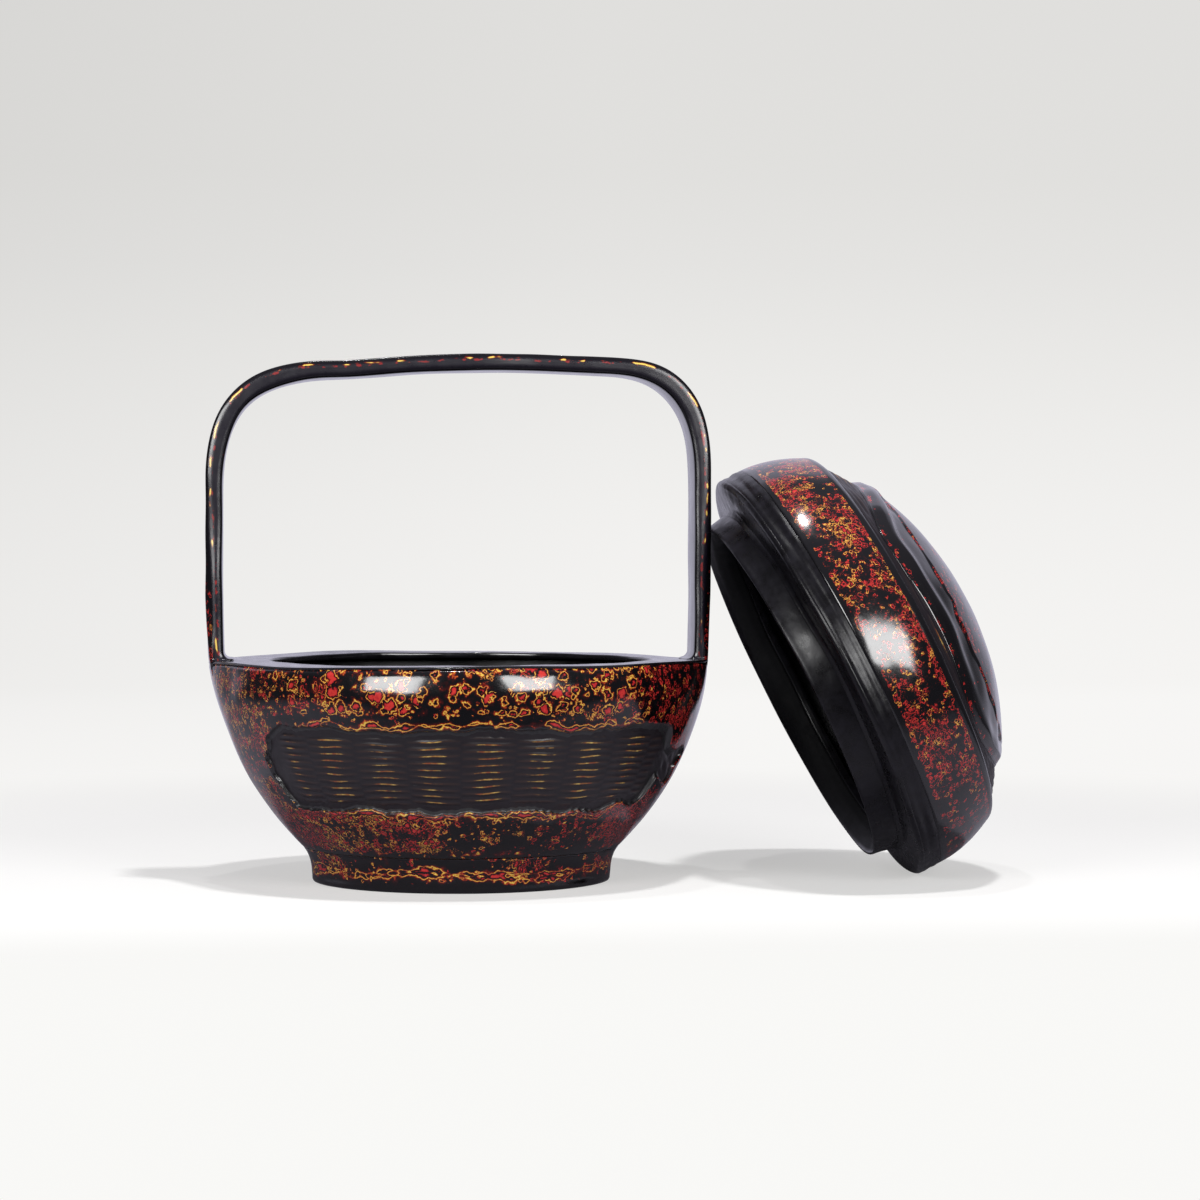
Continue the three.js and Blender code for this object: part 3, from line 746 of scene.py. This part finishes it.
def strap_section(half, thick, deep, wide):
    """Points round a rounded rectangle for each place along the strap: across it (y) and out from its
    outer face (o). Its corners are quarter ellipses of deep by wide, with points on the flats between."""
    quarter, flats = 8, 7
    corners = []
    for side_y, inner_edge, start in ((1, 0, 0), (-1, 0, 90), (-1, 1, 180), (1, 1, 270)):
        angle = np.radians(np.linspace(start, start + 90, quarter))[None, :]
        y = side_y * (half - wide) + wide * np.cos(angle)
        o = -deep * (1 - inner_edge) - (thick - deep) * inner_edge + deep * np.sin(angle)
        corners.append((y, o))
    parts = []
    t = (np.arange(1, flats) / flats)[None, :]
    for (y, o), (next_y, next_o) in zip(corners, corners[1:] + corners[:1]):
        parts.append((y, o))
        parts.append((y[:, -1:] * (1 - t) + next_y[:, :1] * t, o[:, -1:] * (1 - t) + next_o[:, :1] * t))
    return [np.concatenate(values, 1) for values in zip(*parts)]


def build_handle():
    """The strap: a rounded rectangle carried along its face line, with a raised front and back edge,
    uneven thickness, and small fillets where each leg runs into the ledge."""
    line, length = handle_line()
    along = np.gradient(line[:, :2], axis=0)
    along /= np.linalg.norm(along, axis=1)[:, None]
    out = np.stack([along[:, 1], -along[:, 0]], -1)
    z = line[:, 1]
    legs = np.abs(line[:, 0]) > 60
    leg_share = (smooth((150.0 - z) / 60.0) * legs)[:, None]

    def fillet(size):
        drop = np.clip(1 - (z - 78.6) / size, 0, 1) * legs
        return size * (1 - np.sqrt(1 - drop * drop)) * smooth((z - LEDGE_BOTTOM) / 1.2)

    turn = length / length[-1] * math.tau
    half = (HANDLE_HALF + fillet(0.9) + 0.20 * ripple(turn, 71, 3, 12))[:, None]
    thick = (line[:, 2] + 0.12 * ripple(turn, 72, 3, 12) + fillet(3.2))[:, None]
    wide = 1.2
    flat_y, flat_o = strap_section(half, thick, 2.3, wide)
    turn = turn[:, None]
    outward = smooth((flat_o + 2.0) / 2.0)
    inward = smooth((-flat_o - thick + 2.0) / 2.0)
    between = (1 - outward) * (1 - inward)
    across = np.clip(np.abs(flat_y) / half, 0, 1)
    above_foot = np.where(legs, smooth((z - 80.0) / 14.0), 1.0)[:, None]
    ridge = above_foot * (0.35 * hump(across, 0.90, 0.07) - 0.25 * (1 - across ** 2))
    o = flat_o + outward * (ridge + 0.05 * wave(turn, flat_y, 73, (5, 22), 0.3))
    o = o - inward * (0.30 * (1 - across ** 2) - 0.05 * wave(turn, flat_y, 74, (4, 14), 0.2))
    y = flat_y + between * np.sign(flat_y) * 0.05 * wave(turn, o, 75, (4, 16), 0.2)
    sheer = (np.clip(1 - (z - 80) / 22, 0, 1) * legs)[:, None]
    o = o - sheer * y * y / (2 * 88.0) * outward
    ease = np.clip(1 + flat_o / 3.6, 0, 1)
    y = y * (1 - 0.20 * leg_share * above_foot * ease ** 2)
    points = np.stack([line[:, :1] + out[:, :1] * o, y, line[:, 1:2] + out[:, 1:] * o], -1)

    edge_in = hump(np.hypot(half - np.abs(flat_y), thick + flat_o), 0.0, 1.3)
    on_side = (np.abs(flat_y) > half - wide) * (flat_o > -thick * 0.75)
    near_side = np.abs(flat_y) > half - wide - 0.6
    seam = DASH_INSET + 2.0 * leg_share
    clumps = ripple(turn, 76, 14, 50)
    below = smooth((75.0 - z) / 2.0)[:, None]
    outside = smooth((seam - 0.5 + flat_o) / 0.8) * leg_share * near_side
    dense = -3.0 + 2.55 * outward * (1 - 0.9 * on_side) + 2.6 * edge_in * (0.6 + 0.3 * clumps)
    dense = np.maximum(dense, -3.0 + 2.75 * outside) - 4.0 * below
    coarse = -0.5 + 0.75 * np.maximum(outward * (across < 0.93), 0.8 * outside) - 1.0 * below
    surface("handle_strap", points, "basket", "handle_bow", handle_speckle, {
        "coarse": coarse, "dense": np.minimum(dense, 0.4), "line": PLAIN["line"], "red": 0.9,
        "inset": np.where(near_side, -flat_o - seam + DASH_INSET, 20.0), "matt": between * (1 - outside),
    }, capped=True)


# ---- lid

def dome(radius, depth=0.0):
    """Height of the lid's top over its rim: a flat dome, falling by a power of the radius."""
    return CROWN_TOP - DOME * (radius / SHOULDER_R) ** 2.35 - depth


def side(height, depth=0.0):
    """Radius of the lid's side, drawn in by the square of the height."""
    share = np.maximum(0, height - SIDE_LOW) / SIDE_H
    return LID_R - (LID_R - SHOULDER_R) * share ** 2 - depth


def flange_wave(turn, radius, height):
    """The thick black lacquer of collar, seat and hoop wavers round the lid."""
    rim = 0.55 * np.sin(2 * turn + 0.4) + 0.4 * np.sin(3 * turn + 2.0)
    rim = rim + 0.18 * wave(turn, height, 81, (5, 13), 0.4)
    tall = 0.45 * np.sin(2 * turn + 1.3) + 0.25 * wave(turn, radius, 82, (4, 11), 0.3)
    fade = smooth((SIDE_LOW - height) / 6)
    return radius + rim * fade, height + tall * fade * smooth((height + 0.5) / 2)


def build_lid_rim():
    """Collar, seat and edge hoop: a thin lip flares through a hollow into a broad seat, which rolls
    over into a hoop with two soft ridges."""
    lip = [(65.0, 1.2), (65.4, 0.35), (65.9, 0.05), (66.3, 0.25), (66.5, 0.9)]
    flare = [(66.5 + 0.9 * smooth(s) + 0.4 * s, 0.9 + 8.4 * s) for s in np.linspace(0, 1, 12)[1:]]
    inner = [(62.0, 9.6), (62.2, 6.0), (63.4, 3.2)]

    def collar_marks(turn, radius, height):
        # The collar's inside is marked matt: it is duller, and plain_black paints it dead black there as
        # painted shade.
        return {"matt": smooth((65.4 - radius) / 0.8)}

    turned("lid_collar_lip", filled(lip + flare + inner, 1.2), 560, "lid", "lid_collar", satin_black,
           flange_wave, collar_marks)

    cove = [(67.6 + 1.4 * t, 8.4 + 1.9 * t ** 0.6) for t in np.linspace(0, 1, 6)]
    face = [(69.0 + 9.0 * t, 10.3 + 0.9 * t - 0.35 * math.sin(math.pi * t))
            for t in np.linspace(0, 1, 10)[1:]]
    roll = [(78.0 + 1.9 * math.sin(t), 13.1 - 1.9 * math.cos(t)) for t in np.linspace(0.1, math.pi / 2, 8)]
    seat = cove + face + roll + [(79.5, 13.6), (74.0, 13.6), (66.0, 13.0), (62.1, 12.6), (62.1, 9.2)]
    turned("lid_seat_roll", filled(seat, 1.2), 560, "lid", "lid_seat", satin_black, flange_wave)

    low, high = 12.6, 20.6
    heights = np.linspace(low, high, 22)
    ridges = 0.34 * hump(heights, 14.4, 1.2) + 0.34 * hump(heights, 18.2, 1.3)
    hoop = [(LID_R - 0.2 + r, h) for r, h in zip(ridges, heights)] + [(77.5, high), (77.0, low)]

    def hoop_shape(turn, radius, height):
        radius, height = flange_wave(turn, radius, height)
        shift = 0.9 * ripple(turn, 83, 2, 9)
        swell = 0.3 * hump(height - 16.2 - shift, 0.0, 0.8) * (0.5 + 0.5 * ripple(turn, 84, 3, 11))
        return radius + swell * (radius > 78.5), height

    turned("lid_hoop_ridges", filled(hoop, 1.0), 640, "lid", "lid_edge_hoop", satin_black, hoop_shape)


def build_lid_side():
    """The patterned band: the side turns in over a soft shoulder to the rim of the woven ring."""
    outer = [(side(h), h) for h in spread((19.7, 26), (SHOULDER - 1.7, 0))]
    over = curve(outer[-1], (SHOULDER_R + 0.25, SHOULDER + 0.35), (71.9, dome(71.9, 0.1)), 12)[1:]
    rim = [(71.2, dome(71.2, 1.3)), (70.9, dome(70.9, 2.4))]
    inner = [(side(h, 2.0), h) for h in (41.0, 34.0, 27.0, 19.7)]

    def shape(turn, radius, height):
        uneven = 0.14 * wave(turn, height, 91, (3, 11), 0.18)
        tear = 0.22 * ripple(turn, 92, 7, 30)
        at_rim = smooth((72.4 - radius) / 1.0) * (height > 40)
        radius = radius + uneven * smooth((height - 21) / 6) + tear * at_rim
        return radius, height + 0.25 * uneven * (height > 41)

    def marks(turn, radius, height):
        lowness = smooth((np.sin(turn) + 0.1) / 1.1)
        band = smooth((height - 20.6) / 1.6) * (1 - smooth((height - 42.0) / 0.9))
        patches = 0.18 * wave(turn, height, 94, (4, 12), 0.35) - 0.25 * lowness
        borders = 0.5 * hump(height, 21.3, 0.7) + 0.5 * hump(height, 41.6, 0.6)
        inner_face = (radius < side(height) - 1.2) * (height < 41.5)
        cells = 0.10 + 0.20 * wave(turn, height, 97, (2, 7), 0.15) - 0.2 * lowness
        return {"coarse": np.where(height > 42.5, PLAIN["coarse"], cells),
                "dense": -3.4 + band * (3.17 + patches + borders) - 6.0 * inner_face,
                "line": PLAIN["line"], "red": 0.48 + 0.4 * lowness}

    turned("lid_side_band", filled(outer + over + rim + inner, 1.0), 900, "lid", "lid_side_coat", lid_speckle,
           shape, marks)


def crown_edge(turn):
    """Torn outline of the crown: the solids' wavering outline with finer tears on it."""
    fine = 0.20 * ripple(turn, 101, 9, 26)
    slow = 4 * (np.cos(2 * turn) - 0.55 * np.cos(4 * turn) - 0.3 * np.cos(6 * turn))
    tear = 0.5 * (np.sin(3 * turn + 1) + 0.8 * np.sin(5 * turn) + 0.5 * np.sin(11 * turn + 2))
    return CROWN_R + slow + tear + fine


def build_lid_weave():
    """The woven ring: its strands run round the lid and bend over and under twenty stakes."""
    turn = columns_round(720)
    radius = spread((71.9, 110), (54.0, 0))[:, None]
    phase = turn * LID_STAKES / 2
    bend = 0.25 * wave(turn, radius, 111, (2, 9), 0.2)
    over = interlaced(phase, math.tau * (67.0 - radius + bend) / PITCH, 0.6)
    fade = smooth((68.9 - radius) / 1.4) * smooth((radius - crown_edge(turn) - 0.4) / 1.6)
    uneven = 0.14 * wave(turn, radius, 112, (5, 22), 0.3)
    groove = 0.35 * smooth((radius - 68.4) / 1.2)
    depth = 1.5 + groove - fade * (0.30 * over + 0.16 * np.abs(np.cos(phase)) ** 1.5) + 0.6 * uneven
    crest = over * fade * (0.90 + 0.16 * wave(turn, radius, 113, (4, 18), 0.3))
    points = np.concatenate([around(radius, turn, dome(radius) - depth),
                             around(radius, turn, dome(radius, 3.9))[::-1]], 0)
    surface("lid_weave_ring", points, "lid", "woven_lid", woven_black,
            with_hidden({"crest": crest}, crest.shape, len(radius)))


def build_crown():
    """The crown: a thick black disc with a rolled, torn edge and a raised, torn patch of speckle."""
    turn = columns_round(640)
    share = spread((0.0, 30), (0.74, 26), (0.90, 10), (0.955, 12), (1.0, 0))[:, None]
    edge = crown_edge(turn)
    radius = share * edge
    inward = edge - radius
    patch_edge = 53.2 + 1.7 * np.sin(3 * turn + 0.1) - 0.9 * np.cos(2 * turn)
    patch_edge = np.minimum(patch_edge + 0.5 * ripple(turn, 121, 14, 44), edge - 3.5)
    past_patch = radius - patch_edge
    patch = 1 - smooth(past_patch / 1.1 + 0.5)
    high_side = smooth((-np.sin(turn) + 0.5) / 1.4)
    swell = (0.35 + 0.95 * high_side) * hump(inward, 3.4, 2.6) * smooth(inward / 2.0)
    roll = 1.5 * (1 - smooth(inward / 2.2)) ** 1.5
    uneven = 0.22 * wave(turn, radius, 122, (2, 9), 0.15)
    folds = 0.26 * wave(turn, radius, 124, (6, 18), 0.45) * (1 - patch) * smooth(inward / 3.0)
    lift = 0.55 + 0.55 * patch + swell + folds + uneven * smooth(share / 0.3) - roll
    under = np.array([1.0, 0.75, 0.5, 0.25, 0.0])[:, None]
    points = np.concatenate([around(radius, turn, dome(radius) + lift),
                             around(under * edge * 0.995, turn, dome(under * edge, 2.0))], 0)
    on_patch = past_patch < -0.8
    rows = wave(turn, radius, 123, (3, 9), 0.5)
    dense = np.where(on_patch, -0.85 + 0.45 * smooth((past_patch + 5.0) / 4.0) + 0.25 * rows, -5.0)
    ragged = 1.6 * hump(past_patch, -0.2, 0.8) + 1.3 * hump(inward, 0.5, 0.55)
    dense = np.maximum(dense, -1.35 + ragged * (0.75 + 0.25 * ripple(turn, 125, 9, 30)))
    marks = {"coarse": np.where(on_patch, -0.05 + 0.3 * rows, -0.8), "dense": dense,
             "line": PLAIN["line"], "red": 0.8}
    surface("lid_crown_disc", points, "lid", "lid_crown", crown_speckle,
            with_hidden(marks, radius.shape, len(under)), capped=True)


def build_lid_lining():
    """The black lining: the side and the dome in one shell."""
    heights = spread((12.8, 20), (SHOULDER - 5.0, 0))
    outside = [(side(h, 4.5), h) for h in heights]
    inside = [(side(h, 5.6), h) for h in heights[::-1]]
    over = [(r, dome(r, 4.5)) for r in np.linspace(outside[-1][0] - 1.0, 0, int(26 * DETAIL))[1:]]
    under = [(r, dome(r, 5.7)) for r in np.linspace(0, inside[0][0] - 1.0, int(26 * DETAIL))[:-1]]

    def shape(turn, radius, height):
        uneven = 0.2 * wave(turn, radius, 131, (2, 9), 0.12)
        return radius, height + uneven * smooth(radius / 20) * (height > 30)

    turned("lid_lining_dome", over[::-1] + outside[::-1] + inside[::-1] + under[::-1], 320, "lid",
           "lid_lining", inner_black, shape, capped=True)


# ---- stage, light and camera

def sweep_finish():
    """Near the object it is a plain matt floor that takes its shadow, half of it in a fixed pale tone
    for the camera. Further off and in front its tone is wholly fixed, with a slow fall-off upwards.
    Reflections see the part behind the object nearly in full, and the rest dimly."""
    material = bpy.data.materials.new("pale_sweep")
    material.use_nodes = True
    net = Net(material.node_tree)
    net.tree.nodes.remove(net.tree.nodes["Principled BSDF"])
    at = net.place()
    x, y, z = net.fill(net.node("SeparateXYZ"), [at])
    path = net.node("LightPath").outputs
    seen = path["Is Camera Ray"]
    tone = net.ramp(net.range(z, 0.0, 0.7), [
        (0.0, (0.928, 0.920, 0.908)), (0.013, (0.912, 0.904, 0.890)), (0.10, (0.900, 0.892, 0.878)),
        (0.206, (0.880, 0.872, 0.858)), (0.32, (0.850, 0.843, 0.828)), (0.437, (0.815, 0.808, 0.792)),
        (0.557, (0.777, 0.770, 0.755)), (0.69, (0.752, 0.745, 0.728)), (0.94, (0.745, 0.738, 0.722))])
    # Painted shade: the fixed tone darkens towards the left, fading in from 0.1 m to 1.5 m behind the object.
    left = net.range(x, -0.42, 0.20, 0.92, 1.0)
    left = net.either(left, net.less(1.0, net.range(y, 0.1, 1.5)))
    fixed = net.blend(1.0, tone, left, "MULTIPLY")
    fixed = net.blend(net.range(y, 0.15, -0.30), fixed, (0.945, 0.942, 0.925))
    from_middle = net.fill(net.node("VectorMath", operation="LENGTH"),
                           [net.vector("MULTIPLY", at, (1.0, 1.0, 0.0))])["Value"]
    dim = 0.08
    mirrored = net.range(net.math("DIVIDE", y, from_middle), 0.50, 0.88, dim, 0.90)
    strength = net.add(dim, net.times(path["Is Glossy Ray"], net.less(mirrored, dim)))
    emission = net.fill(net.node("Emission"), {
        "Color": net.blend(seen, (0.80, 0.78, 0.95), fixed), "Strength": net.most(seen, strength)})[0]
    matt = net.fill(net.node("BsdfDiffuse"), {
        "Color": net.blend(seen, (0.31, 0.30, 0.35), (0.885, 0.880, 0.868))})[0]
    far = net.most(net.range(from_middle, 0.28, 0.60), net.range(y, -0.08, -0.22))
    far = net.times(net.times(far, far), net.less(3.0, net.times(far, 2.0)))
    share = net.either(far, net.times(seen, 0.50))
    mixed = net.fill(net.node("MixShader"), [share, matt, emission])[0]
    net.fill(net.tree.nodes["Material Output"], {"Surface": mixed})
    return material


def build_stage():
    """A pale floor that sweeps up into a backdrop in one curve."""
    depth, rise, bend, half = 1.25, 2.6, 0.9, 2.2
    line = [(-2.6, 0.0), (-1.0, 0.0), (0.0, 0.0), (depth, 0.0)]
    line += [(depth + bend * math.sin(t), bend - bend * math.cos(t))
             for t in np.linspace(0, math.pi / 2, 24)[1:]]
    line += [(depth + bend, rise)]
    points = [(x, y, z) for y, z in line for x in (-half, half)]
    faces = [(2 * i, 2 * i + 1, 2 * i + 3, 2 * i + 2) for i in range(len(line) - 1)]
    obj = added("sweep", smooth_mesh("sweep", points, faces, sweep_finish()))


def aimed(obj, location, along):
    """Puts a lamp or camera in its place, looking along a direction."""
    obj.location = location
    obj.rotation_mode = "QUATERNION"
    obj.rotation_quaternion = along.to_track_quat("-Z", "Y")


def build_light():
    """Two softboxes at the front sides; overhead a small lamp and a stronger one that reflections don't
    see; and a dim room that is lighter behind and above."""
    aim = Vector((-0.03, 0.0, 0.07))
    for name, location, size, power, reflected in (
            ("softbox_left", (-0.72, -0.95, 0.42), (0.60, 0.48), 8.8, True),
            ("softbox_right", (0.55, -1.02, 0.42), (0.60, 0.42), 8.0, True),
            ("small_lamp", (-0.14, -0.05, 1.52), (0.05, 0.05), 3.0, True),
            ("overhead", (0.12, -0.28, 1.50), (0.10, 0.10), 14.5, False)):
        data = bpy.data.lights.new(name, "AREA")
        data.shape = "RECTANGLE"
        data.size, data.size_y = size
        data.energy = power
        lamp = added(name, data)
        lamp.visible_glossy = reflected
        aimed(lamp, location, aim - Vector(location))
    world = bpy.data.worlds.new("room")
    bpy.context.scene.world = world
    world.use_nodes = True
    net = Net(world.node_tree)
    direction = net.fill(net.node("SeparateXYZ"), [net.node("TexCoord").outputs["Generated"]])
    back = net.range(direction["Y"], 0.50, 0.90, 0.07, 0.60)
    above = net.range(direction["Z"], 0.35, 0.95, 0.0, 0.18)
    seen = net.node("LightPath").outputs["Is Camera Ray"]
    net.fill(world.node_tree.nodes["Background"], {
        "Color": (0.86, 0.84, 1.0), "Strength": net.most(net.times(seen, 0.9), net.add(back, above))})


def camera():
    """Looks level along the turned view line, with the horizon shifted to its row in the frame."""
    data = bpy.data.cameras.new("photo_view")
    data.sensor_width = SENSOR
    data.lens = FOCAL_PIXELS / PHOTO_WIDTH * SENSOR
    data.shift_y = (HORIZON_ROW - PHOTO_WIDTH / 2) / PHOTO_WIDTH
    data.clip_start, data.clip_end = 0.05, 20.0
    obj = added("photo_view", data)
    along = Vector((math.sin(VIEW_TURN), math.cos(VIEW_TURN), 0))
    aside = Vector((math.cos(VIEW_TURN), -math.sin(VIEW_TURN), 0))
    aimed(obj, Vector((AXIS_X, 0, VIEW_HEIGHT)) + aside * VIEW_ASIDE - along * VIEW_DISTANCE, along)
    bpy.context.scene.camera = obj


build_coat()
build_weave("weave_front", 0.0)
build_weave("weave_back", math.pi)
build_bowl_rest()
build_handle()
build_lid_rim()
build_lid_side()
build_lid_weave()
build_crown()
build_lid_lining()
build_stage()
build_light()
camera()
bpy.context.scene.view_settings.view_transform = "Standard"
